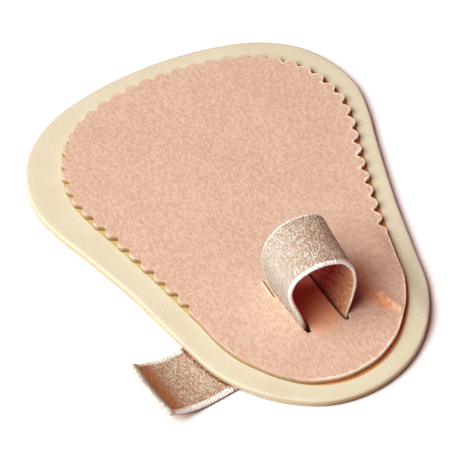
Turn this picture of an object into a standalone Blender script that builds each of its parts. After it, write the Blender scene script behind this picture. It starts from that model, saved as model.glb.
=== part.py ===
"""A toe straightener: a foam base, a pinked fabric cover and one elastic strap with a toe loop.

Units are metres and +Z is up. The pad lies on the surface z = 0 with its toe end towards -Y and
its wide end towards +Y, and the origin is on that surface, under the middle of the pad.
"""
import math

import bmesh
import bpy
import numpy as np

# The pad's two layers
PAD_LENGTH = 0.0890
PAD_WIDTH = 0.0699
BASE_THICKNESS = 0.0016
BASE_EDGE_RADIUS = 0.0004
COVER_THICKNESS = 0.0012
CLEARANCE = 0.0003

# The cover is the pad's shape cut smaller, set on the base a little to the right and turned
COVER_LENGTH = 0.0811
COVER_WIDTH = 0.0588
COVER_X = 0.0004
COVER_TURN = math.radians(-2.2)

# The pinked edge: teeth round the wide end, from one flank to the other
TOOTH_PITCH = 0.0035
TOOTH_DEPTH = 0.0013
NOTCH_MOUTH = 0.0025
PINKING_FROM_TOE = 0.0290

# The elastic strap and its toe loop
STRAP_WIDTH = 0.0132
STRAP_THICKNESS = 0.0010
LOOP_X = -0.0004
LOOP_FROM_TOE = 0.0221
LOOP_TURN = math.radians(3.0)
LOOP_STAGGER = 0.0007
LOOP_WIDTH = 0.0140
LOOP_HEIGHT = 0.0170
SLIT_SPACING = 0.0082
SLIT_INNER_GAP = 0.0007

# The strap under the pad: the free tail to the left, the anchored end to the right
UNDER_RUN = 0.0175
TAIL_DRIFT = 0.0022
TAIL_ANGLE = math.radians(6.0)
TAIL_FLAT = 0.0034
TAIL_CURL_RADIUS = 0.0150
TAIL_CURL = math.radians(41.0)
TAIL_END_BOW = 0.0010
TAIL_BOW_RUN = 0.0045
TURN_RUN = 0.0058
ANCHOR_LENGTH = 0.0125
ANCHOR_DRIFT = 0.0030

# The pad drapes over the strap
PAD_LIFT = 0.0007
DRAPE_SHOULDER = 0.0008
DRAPE_RUN = 0.0090
DRAPE_END_RUN = 0.0045

# How finely the shapes are divided: steps to a span of an outline or of the loop's curves, the
# cell of the draped grid, the step along the strap, and the parts of a bend and of its width
OUTLINE_STEPS = 4
LOOP_STEPS = 3
DRAPE_CELL = 0.0030
STRAP_STEP = 0.0016
BEND_STEPS = 4
STRAP_COLUMNS = 4

# Outline of the pad: share of the length from the toe end, and shares of the half width on the
# right and on the left
PAD_OUTLINE = (
    (0.000, 0.000, 0.000),
    (0.0135, 0.210, 0.206),
    (0.0505, 0.385, 0.372),
    (0.107, 0.523, 0.535),
    (0.174, 0.620, 0.645),
    (0.275, 0.686, 0.716),
    (0.410, 0.771, 0.778),
    (0.5675, 0.891, 0.891),
    (0.657, 0.966, 0.964),
    (0.733, 1.000, 0.998),
    (0.8146, 0.963, 0.966),
    (0.8876, 0.863, 0.863),
    (0.9494, 0.663, 0.663),
    (0.9865, 0.370, 0.370),
    (1.000, 0.000, 0.000),
)

# The toe loop's two rims, from the left foot to the right one: share of half the loop's width
# from its middle and share of its height over the cover, at the front rim and at the rear rim
LOOP_RIMS = (
    # front across, front up, rear across, rear up
    (-0.77, 0.27, -0.71, 0.28),
    (-0.97, 0.52, -0.74, 0.46),
    (-1.035, 0.67, -0.66, 0.635),
    (-0.985, 0.79, -0.47, 0.775),
    (-0.835, 0.895, -0.215, 0.865),
    (-0.235, 0.995, 0.065, 0.895),
    (0.38, 0.93, 0.49, 0.865),
    (0.57, 0.845, 0.715, 0.805),
    (0.715, 0.71, 0.86, 0.63),
    (0.78, 0.48, 0.885, 0.48),
    (0.705, 0.24, 0.80, 0.27),
)

LOOP_Y = LOOP_FROM_TOE - PAD_LENGTH / 2
PINKING_END_Y = PINKING_FROM_TOE - PAD_LENGTH / 2
BED_HEIGHT = STRAP_THICKNESS + CLEARANCE
BEND_RADIUS = STRAP_THICKNESS / 2 + CLEARANCE
COVER_BOTTOM = BASE_THICKNESS + CLEARANCE
PAD_TOP = COVER_BOTTOM + COVER_THICKNESS
LOOP_BASE = PAD_TOP + PAD_LIFT
LEG_BOTTOM = STRAP_THICKNESS / 2 + BEND_RADIUS


def smooth_step(share):
    """0 up to share 0, 1 from share 1, and 3 s^2 - 2 s^3 between them."""
    share = np.clip(share, 0.0, 1.0)
    return share * share * (3.0 - 2.0 * share)


def smooth_curve(points, steps, closed):
    """Centripetal Catmull-Rom curve through the points, in equal steps of its parameter."""
    points = np.asarray(points, float)
    if closed:
        ends = np.vstack([points[-1:], points, points[:2]])
    else:
        ends = np.vstack([2 * points[0] - points[1], points, 2 * points[-1] - points[-2]])
    rows = []
    for p0, p1, p2, p3 in zip(ends, ends[1:], ends[2:], ends[3:]):
        t1 = math.sqrt(np.linalg.norm(p1 - p0))
        t2 = t1 + math.sqrt(np.linalg.norm(p2 - p1))
        t3 = t2 + math.sqrt(np.linalg.norm(p3 - p2))
        t = np.linspace(t1, t2, steps, endpoint=False)[:, None]
        a1 = (t1 - t) / t1 * p0 + t / t1 * p1
        a2 = (t2 - t) / (t2 - t1) * p1 + (t - t1) / (t2 - t1) * p2
        a3 = (t3 - t) / (t3 - t2) * p2 + (t - t2) / (t3 - t2) * p3
        b1 = (t2 - t) / t2 * a1 + t / t2 * a2
        b2 = (t3 - t) / (t3 - t1) * a2 + (t - t1) / (t3 - t1) * a3
        rows.append((t2 - t) / (t2 - t1) * b1 + (t - t1) / (t2 - t1) * b2)
    if not closed:
        rows.append(points[-1:])
    return np.vstack(rows)


def pear_outline(length, width, left_column):
    """The pear outline, counter-clockwise from the toe end, its left side from the column given."""
    table = np.array(PAD_OUTLINE)
    along = (table[:, 0] - 0.5) * length
    right = np.column_stack([table[:, 1] * width / 2, along])
    left = np.column_stack([-table[:, left_column] * width / 2, along])[-2:0:-1]
    return smooth_curve(np.vstack([right, left]), OUTLINE_STEPS, closed=True)


def outward_normals(outline):
    """Unit normals of a closed counter-clockwise outline."""
    along = np.roll(outline, -1, axis=0) - np.roll(outline, 1, axis=0)
    along /= np.linalg.norm(along, axis=1)[:, None]
    return np.column_stack([along[:, 1], -along[:, 0]])


def cover_outline():
    """The cover's plain outline, both sides alike, turned and moved to its place on the base."""
    outline = pear_outline(COVER_LENGTH, COVER_WIDTH, 1)
    cos, sin = math.cos(COVER_TURN), math.sin(COVER_TURN)
    return outline @ np.array([[cos, sin], [-sin, cos]]) + (COVER_X, 0.0)


def pinked_outline():
    """The cover's outline with V notches cut at even steps round the wide end."""
    outline = cover_outline()
    start = np.flatnonzero(outline[:, 1] > PINKING_END_Y)[0]
    outline = np.roll(outline, -start, axis=0)
    ring = np.vstack([outline, outline[:1]])
    normals = outward_normals(outline)
    normals = np.vstack([normals, normals[:1]])
    length = np.concatenate([[0.0], np.cumsum(np.linalg.norm(np.diff(ring, axis=0), axis=1))])
    pinked_length = length[np.flatnonzero(outline[:, 1] > PINKING_END_Y)[-1]]
    notches = round(pinked_length / TOOTH_PITCH)
    pitch = pinked_length / notches
    middles = (np.arange(notches) + 0.5) * pitch
    mouth = NOTCH_MOUTH / 2
    plain_steps = round((length[-1] - pinked_length) / TOOTH_PITCH * 2)
    plain = np.linspace(pinked_length, length[-1], plain_steps + 1)[1:-1]
    distances = np.concatenate([(middles[:, None] + (-mouth, 0.0, mouth)).ravel(), plain])
    depths = np.concatenate([np.tile((0.0, TOOTH_DEPTH, 0.0), notches), np.zeros(len(plain))])

    def at(values):
        return np.column_stack([np.interp(distances, length, values[:, k]) for k in (0, 1)])

    return at(ring) - depths[:, None] * at(normals)


def loop_place(across, toward_toe):
    """Plan position of a point of the loop, given across and along the slits from its middle."""
    x = LOOP_X + across + toward_toe * math.tan(LOOP_TURN)
    y = LOOP_Y - toward_toe - across * LOOP_STAGGER / SLIT_SPACING
    return np.array([x, y])


def foot(side):
    """Plan position of the middle of a leg, -1 for the left one and 1 for the right one."""
    return loop_place(side * SLIT_SPACING / 2, 0.0)


def strap_centre_y(x):
    """Plan centreline of the strap: it drifts towards the toe on both sides of the loop."""
    x = np.asarray(x, float)
    left_x, left_y = foot(-1)
    right_x, right_y = foot(1)
    out_left = np.maximum(left_x - x, 0.0)
    out_right = np.maximum(x - right_x, 0.0)
    between = np.clip((x - left_x) / (right_x - left_x), 0.0, 1.0)
    left_drop = out_left * math.tan(TAIL_ANGLE) + TAIL_DRIFT * smooth_step(out_left / UNDER_RUN)
    right_drop = ANCHOR_DRIFT * smooth_step(out_right / ANCHOR_LENGTH)
    return left_y + between * (right_y - left_y) - left_drop - right_drop


def drape(x, y):
    """1 over the strap under the pad, falling smoothly to 0 away from it."""
    off = np.abs(y - strap_centre_y(x)) - STRAP_WIDTH / 2 - DRAPE_SHOULDER
    past = x - foot(1)[0] - ANCHOR_LENGTH - DRAPE_SHOULDER
    return smooth_step(1.0 - off / DRAPE_RUN) * smooth_step(1.0 - past / DRAPE_END_RUN)


def plate(name, outline, bottom, thickness, edge_radius):
    """A flat plate of the outline, with rounded edges, as a mesh object."""
    curve = bpy.data.curves.new(name, "CURVE")
    curve.dimensions = "2D"
    curve.fill_mode = "BOTH"
    curve.extrude = thickness / 2 - edge_radius
    curve.bevel_depth = edge_radius
    curve.bevel_resolution = 1
    curve.offset = -edge_radius
    spline = curve.splines.new("POLY")
    spline.points.add(len(outline) - 1)
    flat = np.column_stack([outline, np.zeros(len(outline)), np.ones(len(outline))])
    spline.points.foreach_set("co", flat.ravel())
    spline.use_cyclic_u = True
    shape = bpy.data.objects.new(name + "_outline", curve)
    shape.location.z = bottom + thickness / 2
    part_collection.objects.link(shape)
    bpy.context.view_layer.update()
    evaluated = shape.evaluated_get(bpy.context.evaluated_depsgraph_get())
    mesh = bpy.data.meshes.new_from_object(evaluated)
    mesh.name = name
    plate_object = bpy.data.objects.new(name, mesh)
    plate_object.matrix_world = shape.matrix_world
    part_collection.objects.link(plate_object)
    bpy.data.objects.remove(shape)
    return plate_object


def cut_grid(work, axis, positions, low, high):
    """Cut the mesh by planes across one axis, only where its faces lie between low and high in Y."""
    normal = (1, 0, 0) if axis == 0 else (0, 1, 0)
    for position in positions:
        faces = [face for face in work.faces if low < face.calc_center_median().y < high]
        edges = {edge for face in faces for edge in face.edges}
        verts = {vert for face in faces for vert in face.verts}
        point = [position * component for component in normal]
        bmesh.ops.bisect_plane(work, geom=[*verts, *edges, *faces], dist=1e-6,
                               plane_co=point, plane_no=normal)


def drape_plate(plate_object, thickness, bottom_lift, top_lift):
    """Raise the plate over the strap, its underside and its top each by its own lift."""
    work = bmesh.new()
    work.from_mesh(plate_object.data)
    bmesh.ops.remove_doubles(work, verts=work.verts, dist=1e-6)
    reach = STRAP_WIDTH / 2 + DRAPE_SHOULDER + DRAPE_RUN
    sweep = TAIL_DRIFT + UNDER_RUN * math.tan(TAIL_ANGLE) + LOOP_STAGGER
    low, high = LOOP_Y - reach - sweep, LOOP_Y + reach
    rows = np.linspace(low, high, round((high - low) / DRAPE_CELL) + 1)
    columns = np.linspace(-PAD_WIDTH / 2, PAD_WIDTH / 2, round(PAD_WIDTH / DRAPE_CELL) + 1)
    cut_grid(work, 1, rows, -PAD_LENGTH, PAD_LENGTH)
    cut_grid(work, 0, columns, low, high)
    bmesh.ops.triangulate(work, faces=work.faces)
    for vert in work.verts:
        share = vert.co.z / thickness + 0.5
        lift = bottom_lift + (top_lift - bottom_lift) * share
        vert.co.z += lift * float(drape(vert.co.x, vert.co.y))
    work.to_mesh(plate_object.data)
    work.free()


def slit_cutter(side):
    """A box through both layers, for the slit that the strap's leg passes through."""
    bpy.ops.mesh.primitive_cube_add(size=1.0)
    box = bpy.context.object
    box.name = "slit_left" if side < 0 else "slit_right"
    width = SLIT_INNER_GAP + STRAP_THICKNESS + CLEARANCE
    across = side * (SLIT_SPACING / 2 + (CLEARANCE - SLIT_INNER_GAP) / 2)
    place = loop_place(across, 0.0)
    box.location = (place[0], place[1], LOOP_BASE)
    box.rotation_euler.z = LOOP_TURN
    box.scale = (width, STRAP_WIDTH + 2 * CLEARANCE, 3 * LOOP_BASE)
    box.hide_render = True
    box.display_type = "WIRE"
    bpy.context.collection.objects.unlink(box)
    cutter_collection.objects.link(box)
    return box


def cut_slits(plate_object, cutters):
    """Difference the slits out of a layer."""
    for cutter in cutters:
        cut = plate_object.modifiers.new(cutter.name, "BOOLEAN")
        cut.operation = "DIFFERENCE"
        cut.object = cutter


def steps_along(length):
    """The number of steps that a length of the strap is divided into."""
    return max(2, round(length / STRAP_STEP))


def tail_curl():
    """The tail's upward curl from its tip down: distance out from the left foot, and height."""
    steps = steps_along(TAIL_CURL * TAIL_CURL_RADIUS)
    angle = np.linspace(TAIL_CURL, 0.0, steps, endpoint=False)
    out = UNDER_RUN + TAIL_FLAT + TAIL_CURL_RADIUS * np.sin(angle)
    up = STRAP_THICKNESS / 2 + TAIL_CURL_RADIUS * (1.0 - np.cos(angle))
    return out, up


def flat_run(far):
    """Distances out from a foot along a flat run, from its far end to the bend at the slit."""
    return np.linspace(far, BEND_RADIUS, steps_along(far - BEND_RADIUS) + 1)


def run_direction(x):
    """Unit direction across the strap where its plan centreline passes x."""
    step = STRAP_STEP / 100
    slope = (strap_centre_y(x + step) - strap_centre_y(x - step)) / (2 * step)
    across = np.array([slope, -1.0])
    return across / np.linalg.norm(across)


def slit_direction():
    """Unit direction along the slits, towards the toe."""
    return np.array([math.sin(LOOP_TURN), -math.cos(LOOP_TURN)])


def rims_at(centre, height, direction):
    """The strap's front and rear rim points beside a point of its centreline."""
    half = STRAP_WIDTH / 2 * np.asarray(direction)
    return [*(centre + half), height], [*(centre - half), height]


def under_rims(distances, heights, side):
    """Rims of a run outside a slit, turning from the slit's direction to square with the run."""
    rims = []
    for out, height in zip(distances, heights):
        x = foot(side)[0] + side * out
        share = smooth_step(out / TURN_RUN)
        direction = slit_direction() + share * (run_direction(x) - slit_direction())
        direction /= np.linalg.norm(direction)
        rims.append(rims_at(np.array([x, float(strap_centre_y(x))]), height, direction))
    return rims


def bend_rims(side):
    """Rims of the quarter bend at a slit, from the flat run up to the leg."""
    rims = []
    for angle in np.linspace(0.0, math.pi / 2, BEND_STEPS + 1)[1:]:
        out = BEND_RADIUS * (1.0 - math.sin(angle))
        height = LEG_BOTTOM - BEND_RADIUS * math.cos(angle)
        rims.append(rims_at(foot(side) + (side * out, 0.0), height, slit_direction()))
    return rims


def loop_rims():
    """The loop's rims above the slits: one smooth curve each through its table's rows."""
    table = np.array(LOOP_RIMS)
    leg = (LEG_BOTTOM - LOOP_BASE) / LOOP_HEIGHT
    foot = SLIT_SPACING / LOOP_WIDTH
    first = np.array([[-foot, leg, -foot, leg], [-foot, 0.0, -foot, 0.0]])
    last = first[::-1] * (-1, 1, -1, 1)
    rows = np.vstack([first, table, last])
    rims = []
    for across, up, toward_toe in ((0, 1, 0.5), (2, 3, -0.5)):
        curve = smooth_curve(rows[:, (across, up)], LOOP_STEPS, closed=False)
        plan = [loop_place(share * LOOP_WIDTH / 2, toward_toe * STRAP_WIDTH) for share in curve[:, 0]]
        rims.append(np.column_stack([plan, LOOP_BASE + curve[:, 1] * LOOP_HEIGHT]))
    return list(zip(rims[0][1:-1], rims[1][1:-1]))


def strap_rims():
    """The strap's two rims as rows of points along it, from the tail's tip to the anchored end."""
    flat = STRAP_THICKNESS / 2
    tail = flat_run(UNDER_RUN + TAIL_FLAT)
    anchor = flat_run(ANCHOR_LENGTH)
    rims = under_rims(*tail_curl(), -1)
    rims += under_rims(tail, np.full(len(tail), flat), -1)
    rims += bend_rims(-1)
    rims += loop_rims()
    rims += bend_rims(1)[::-1]
    rims += under_rims(anchor, np.full(len(anchor), flat), 1)[::-1]
    return np.array(rims)


def make_strap():
    """The strap: a ruled surface between its two rims, given its thickness."""
    rims = strap_rims()
    shares = np.linspace(0.0, 1.0, STRAP_COLUMNS + 1)
    grid = rims[:, :1] * (1.0 - shares)[None, :, None] + rims[:, 1:] * shares[None, :, None]
    bow = TAIL_END_BOW * (1.0 - (2.0 * shares - 1.0) ** 2)
    bowed_rows = steps_along(TAIL_BOW_RUN)
    for row in range(bowed_rows):
        toward_tip = grid[row] - grid[row + 1]
        toward_tip /= np.linalg.norm(toward_tip, axis=1)[:, None]
        grid[row] += toward_tip * (bow * (1.0 - row / bowed_rows))[:, None]
    rows, columns = grid.shape[:2]
    faces = [(r * columns + c, r * columns + c + 1, (r + 1) * columns + c + 1, (r + 1) * columns + c)
             for r in range(rows - 1) for c in range(columns - 1)]
    mesh = bpy.data.meshes.new("elastic_strap")
    mesh.from_pydata(grid.reshape(-1, 3).tolist(), [], faces)
    strap = bpy.data.objects.new("elastic_strap", mesh)
    part_collection.objects.link(strap)
    wall = strap.modifiers.new("thickness", "SOLIDIFY")
    wall.thickness = STRAP_THICKNESS
    wall.offset = 0.0
    wall.use_even_offset = True
    mesh.shade_smooth()
    return strap


def material(name, colour, roughness):
    """A plain Principled material."""
    finish = bpy.data.materials.new(name)
    finish.use_nodes = True
    shader = finish.node_tree.nodes["Principled BSDF"]
    shader.inputs["Base Color"].default_value = (*colour, 1.0)
    shader.inputs["Roughness"].default_value = roughness
    shader.inputs["Metallic"].default_value = 0.0
    return finish


for old in list(bpy.data.objects):
    bpy.data.objects.remove(old)
part_collection = bpy.data.collections.new("toe_straightener")
cutter_collection = bpy.data.collections.new("cutters")
for collection in (part_collection, cutter_collection):
    bpy.context.scene.collection.children.link(collection)

slits = [slit_cutter(side) for side in (-1, 1)]

base_outline = pear_outline(PAD_LENGTH, PAD_WIDTH, 2)
foam_base = plate("foam_base", base_outline, 0.0, BASE_THICKNESS, BASE_EDGE_RADIUS)
drape_plate(foam_base, BASE_THICKNESS, BED_HEIGHT, PAD_LIFT)
cut_slits(foam_base, slits)
foam_base.data.materials.append(material("cream_foam", (0.80, 0.70, 0.53), 0.85))

fabric_cover = plate("fabric_cover", pinked_outline(), COVER_BOTTOM, COVER_THICKNESS, 0.0)
drape_plate(fabric_cover, COVER_THICKNESS, PAD_LIFT, PAD_LIFT)
cut_slits(fabric_cover, slits)
fabric_cover.data.materials.append(material("pink_fabric", (0.75, 0.45, 0.34), 0.95))

elastic_strap = make_strap()
elastic_strap.data.materials.append(material("woven_elastic", (0.66, 0.52, 0.40), 0.8))
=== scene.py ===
"""The dressed toe straightener: foam pad, pinked fabric cover and woven elastic strap, lit and framed.

Units are metres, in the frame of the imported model: +Z is up, the pad lies on z = 0, and its toe end
points to -Y. Every shape is worked out with numpy as a grid of points from the named sizes below.
"""

import math

import bpy
import numpy as np
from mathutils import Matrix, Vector


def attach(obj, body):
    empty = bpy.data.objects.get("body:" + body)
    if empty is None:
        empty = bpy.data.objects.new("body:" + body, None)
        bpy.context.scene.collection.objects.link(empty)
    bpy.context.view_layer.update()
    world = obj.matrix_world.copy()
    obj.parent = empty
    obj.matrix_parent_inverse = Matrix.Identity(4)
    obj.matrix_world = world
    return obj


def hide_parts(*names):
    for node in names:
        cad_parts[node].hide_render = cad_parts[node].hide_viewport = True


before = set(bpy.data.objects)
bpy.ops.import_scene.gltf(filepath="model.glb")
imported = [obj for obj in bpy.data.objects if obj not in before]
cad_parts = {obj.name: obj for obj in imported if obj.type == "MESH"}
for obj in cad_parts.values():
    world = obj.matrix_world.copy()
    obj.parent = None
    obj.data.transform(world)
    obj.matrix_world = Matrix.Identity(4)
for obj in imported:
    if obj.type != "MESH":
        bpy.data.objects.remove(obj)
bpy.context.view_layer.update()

# The pad's layers, as in the solid model
PAD_LENGTH = 0.0890
PAD_WIDTH = 0.0699
BASE_THICKNESS = 0.0016
COVER_THICKNESS = 0.0012
CLEARANCE = 0.0003
COVER_LENGTH = 0.0811
COVER_WIDTH = 0.0588
COVER_X = 0.0004
COVER_TURN = math.radians(-2.2)
TOOTH_PITCH = 0.0035
TOOTH_DEPTH = 0.0013
NOTCH_MOUTH = 0.0025
PINKING_FROM_TOE = 0.0290

# The strap and its toe loop, as in the solid model
STRAP_WIDTH = 0.0132
STRAP_THICKNESS = 0.0010
LOOP_X = -0.0004
LOOP_FROM_TOE = 0.0221
LOOP_TURN = math.radians(3.0)
LOOP_STAGGER = 0.0007
LOOP_WIDTH = 0.0140
LOOP_HEIGHT = 0.0170
SLIT_SPACING = 0.0082
SLIT_INNER_GAP = 0.0007
UNDER_RUN = 0.0175
TAIL_DRIFT = 0.0022
TAIL_ANGLE = math.radians(6.0)
TAIL_FLAT = 0.0034
TAIL_CURL_RADIUS = 0.0150
TAIL_CURL = math.radians(41.0)
TAIL_END_BOW = 0.0010
TAIL_BOW_RUN = 0.0045
TURN_RUN = 0.0058
ANCHOR_LENGTH = 0.0125
ANCHOR_DRIFT = 0.0030
PAD_LIFT = 0.0007
DRAPE_SHOULDER = 0.0008
DRAPE_RUN = 0.0090
DRAPE_END_RUN = 0.0045

# The visible strap's thickness, rounded edges, ribs and the swell near each edge
WEAVE_THICKNESS = 0.00076
STRAP_ROUNDING = 0.00045
RIB_PITCH = 0.00062
SELVEDGE_INSET = 0.00055
SELVEDGE_SWELL_WIDTH = 0.00035

# The tail's sealed end: the swell of its bead and the dip of the groove behind it, as shares of
# the thickness, with each one's distance from the tip and its width
BEAD_SWELL, BEAD_PLACE, BEAD_WIDTH = 0.36, 0.0006, 0.0005
GROOVE_DIP, GROOVE_PLACE, GROOVE_WIDTH = 0.05, 0.0017, 0.0004

# Where the strap's looks change, from the tail's tip: the painted shade near the curled tip, the sealed
# end with its painted shade, and the painted shadow along the low front edge fade out, and the selvedge
# goes from its first width to its second
TAIL_SHADE_FADE = (0.022, 0.012)
SEALED_AND_SHADE_FADE = (0.0046, 0.0028)
TAIL_EDGE_SHADOW_FADE = (0.030, 0.026)
SELVEDGE_CHANGE = (0.016, 0.026)
SELVEDGE_WIDTHS = (0.00105, 0.00062)

# How far the weave's hollows and tan show, at distances from the tail's tip and at the anchored end: real
# weave colour, made stronger where the strap lies in shade as painted shade
OPENNESS_AND_SHADE_PLACES = (0.0, 0.012, 0.030, 0.040, 0.056, 0.066)
OPENNESS_AND_SHADE = (0.85, 0.66, 0.40, 0.24, 0.72, 0.95, 0.60)

# Height to which the loop's left foot takes a painted shade at its front rim
FOOT_SHADE_HEIGHT = 0.0042

# The roundings of the foam's low and top edges, and of the cover's top edge
FOAM_LOW_ROUND = 0.00028
FOAM_TOP_ROUND = 0.00055
COVER_ROUND = 0.00013

# How far behind the notches the cover's rings start, and the wander of its cut edge
BAND_BEHIND_NOTCHES = 0.0006
SLOW_WANDER, SLOW_WAVE = 0.00005, 0.0041
QUICK_WANDER, QUICK_WAVE = 0.00003, 0.0011

# The fold in the cover at the loop's right. Its left slope is narrower than its right one
CREASE_START = (0.0117, -0.0265)
CREASE_LENGTH = 0.0072
CREASE_LEAN = 0.28
CREASE_WIDTH = 0.0013
CREASE_LEFT_SHARE = 0.42
CREASE_HEIGHT = 0.00052

# The strip of the cover beside it that takes a painted orange penumbra of the loop's shadow
SHADE_STRIP_START_Y = -0.0180
SHADE_STRIP_LENGTH = 0.0158
SHADE_STRIP_X = 0.0103
SHADE_STRIP_TURN = 0.0024
SHADE_STRIP_WIDTH = 0.0018

# The painted shadow line and painted highlight behind the left slit, beside the strap, that stand for a
# raised lip
LIP_LINE_X = -0.0057
LIP_LINE_START_Y = -0.0150
LIP_LINE_END_Y = -0.0200

# How far in from its outline the cover's teeth are frayed pale
TIP_FADE = 0.0009

# The cover's painted shadow on the foam beyond its edge, and the width over which it fades out
COVER_SHADOW_WIDTH = 0.00062
COVER_SHADOW_SOFTNESS = 0.0011

# The painted contact shadow at the foot of the foam's wall: its top, and the height over which it fades
# out.
# The painted shadow on the strap beside the pad's edge: its width, and the width over which it fades out
FLOOR_SHADOW_TOP, FLOOR_SHADOW_SOFTNESS = 0.00042, 0.0002
PAD_SHADOW_WIDTH, PAD_SHADOW_SOFTNESS = 0.00015, 0.0004

# Where the pad's right side, away from the key light, starts to take its painted shade and highlights, and
# the run over which it takes over, and the same for the looks of the two ends
RIGHT_X = -0.004
RIGHT_RUN = 0.014
END_Y = 0.026
END_RUN = 0.012

# How finely the surfaces are divided
CURVE_STEPS = 24
EDGE_STEP = 0.00055
TOOTH_POINTS = 11
SLIT_POINTS = 40
UNDER_RINGS = 26
FOAM_TOP_RINGS = 44
COVER_TOP_RINGS = 62
STRAP_STEP = 0.00013
STRAP_COLUMNS = 26

# Colours of the foam
FOAM_DEEP = (0.63, 0.586, 0.45)
FOAM_PALE = (0.66, 0.626, 0.5)
FOAM_PORE = (0.65, 0.535, 0.385)
FOAM_WALL_SHADE = (0.55, 0.39, 0.21)
FLOOR_CONTACT_SHADOW = (0.16, 0.08, 0.045)
COVER_SHADOW_LEFT = (0.54, 0.41, 0.2)
COVER_SHADOW_RIGHT = (0.56, 0.25, 0.09)

# Colours of the cover. The cloth under the loop takes a painted red shade, which changes from front to
# rear
CLOTH_DEEP = (0.618, 0.432, 0.328)
CLOTH_PALE = (0.652, 0.478, 0.377)
CLOTH_MOTTLE = (0.6, 0.385, 0.285)
CLOTH_STREAK = (0.56, 0.365, 0.262)
DEEP_FLECK = (0.54, 0.335, 0.24)
PALE_FLECK = (0.79, 0.7, 0.6)
LIP_HIGHLIGHT = (0.88, 0.72, 0.58)
LIP_SHADOW = (0.22, 0.085, 0.045)
LOOP_SHADE_FRONT = (0.83, 0.43, 0.23)
LOOP_SHADE_REAR = (0.8, 0.34, 0.33)
FRAYED_RIM_HIGHLIGHT = (0.94, 0.82, 0.7)
FRAYED_TIP = (0.68, 0.6, 0.46)
FOLD_HIGHLIGHT = (0.93, 0.78, 0.66)
ORANGE_SHADE = (0.7, 0.315, 0.155)
COVER_WALL_LEFT = (0.64, 0.47, 0.25)
COVER_WALL_SHADE = (0.54, 0.3, 0.12)

# Colours of the strap. The loop's lining turns from its warm brown at the front to a painted red shade at
# the rear
YARN_DEEP = (0.635, 0.605, 0.535)
YARN_PALE = (0.685, 0.665, 0.605)
YARN_SHADE_TAN = (0.76, 0.6, 0.43)
YARN_TAIL_SHADE = (0.7, 0.54, 0.39)
HOLLOW = (0.4, 0.175, 0.07)
LINING_FRONT = (0.82, 0.52, 0.31)
LINING_SHADE_REAR = (0.78, 0.31, 0.29)
LINING_HOLLOW_FRONT = (0.52, 0.22, 0.11)
LINING_HOLLOW_SHADE_REAR = (0.5, 0.11, 0.12)
SELVEDGE = (0.97, 0.94, 0.87)
SELVEDGE_SPECK = (0.6, 0.45, 0.33)
SELVEDGE_TICK = (0.45, 0.28, 0.17)
SEALED_END_AND_SHADE = (0.52, 0.225, 0.08)
FOOT_SHADE_COLOUR = (0.33, 0.13, 0.08)
TAIL_EDGE_SHADOW = (0.16, 0.065, 0.035)
PAD_EDGE_SHADOW = (0.3, 0.11, 0.045)
BEAD_PALE = (0.72, 0.68, 0.6)
BEAD_DEEP = (0.58, 0.46, 0.34)

# The key light, a disk to the left of the pad, and the fill from all round
KEY_AIM = (0.0, -0.010, 0.005)
KEY_ELEVATION = math.radians(54.0)
KEY_DISTANCE = 1.30
KEY_SIZE = 1.28
KEY_POWER = 21.5
KEY_COLOUR = (0.9, 1.0, 0.99)
FILL_COLOUR = (0.16, 0.036, 0.04)

# The photograph's viewpoint round the point that it looks at, and its lens in millimetres
CAMERA_AIM = (-0.00398, 0.00090, 0.0)
CAMERA_AZIMUTH = math.radians(-28.03)
CAMERA_ELEVATION = math.radians(51.04)
CAMERA_DISTANCE = 0.4727
CAMERA_LENS = 195.65

# Outline of the pad: share of the length from the toe end, and shares of the half width on the
# right and on the left
PAD_OUTLINE = (
    (0.0, 0.0, 0.0),
    (0.0135, 0.210, 0.206),
    (0.0505, 0.385, 0.372),
    (0.107, 0.523, 0.535),
    (0.174, 0.620, 0.645),
    (0.275, 0.686, 0.716),
    (0.410, 0.771, 0.778),
    (0.5675, 0.891, 0.891),
    (0.657, 0.966, 0.964),
    (0.733, 1.0, 0.998),
    (0.8146, 0.963, 0.966),
    (0.8876, 0.863, 0.863),
    (0.9494, 0.663, 0.663),
    (0.9865, 0.370, 0.370),
    (1.0, 0.0, 0.0),
)

# The toe loop's two rims, from the left foot to the right one: share of half the loop's width
# from its middle and share of its height over the cover, at the front rim and at the rear rim
LOOP_RIMS = (
    (-0.77, 0.27, -0.71, 0.28),
    (-0.97, 0.52, -0.74, 0.46),
    (-1.035, 0.67, -0.66, 0.635),
    (-0.985, 0.79, -0.47, 0.775),
    (-0.835, 0.895, -0.215, 0.865),
    (-0.235, 0.995, 0.075, 0.905),
    (0.38, 0.93, 0.565, 0.885),
    (0.57, 0.845, 0.860, 0.790),
    (0.715, 0.71, 0.960, 0.635),
    (0.78, 0.48, 0.940, 0.490),
    (0.705, 0.24, 0.80, 0.27),
)

LOOP_Y = LOOP_FROM_TOE - PAD_LENGTH / 2
PINKING_END_Y = PINKING_FROM_TOE - PAD_LENGTH / 2
BEND_RADIUS = STRAP_THICKNESS / 2 + CLEARANCE
PAD_TOP = BASE_THICKNESS + CLEARANCE + COVER_THICKNESS
LOOP_BASE = PAD_TOP + PAD_LIFT
LEG_BOTTOM = STRAP_THICKNESS / 2 + BEND_RADIUS
# The two soft layers share the solid model's clearance between them
LAYER_GAP = 0.00004
BASE_TOP = BASE_THICKNESS + CLEARANCE / 2 - LAYER_GAP / 2
COVER_BOTTOM = BASE_TOP + LAYER_GAP
# How far the foam's underside is pressed up by the strap below it
BED_LIFT = 0.0011
# A slit closes on the strap's outer face and stays open a little past its front rim
SLIT_OUTER_GAP = 0.00006
SLIT_FRONT_GAP = 0.0010
RING_MIDDLE = np.array([LOOP_X, LOOP_Y])


def smooth_step(share):
    """0 up to share 0, 1 from share 1, and 3 s^2 - 2 s^3 between them."""
    share = np.clip(share, 0.0, 1.0)
    return share * share * (3.0 - 2.0 * share)


def bell(off, width):
    """1 where off is 0, falling as exp(-(off / width)^2)."""
    return np.exp(-(off / width) ** 2)


def unit(vectors):
    """The vectors at length 1."""
    return vectors / np.linalg.norm(vectors, axis=-1, keepdims=True)


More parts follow.
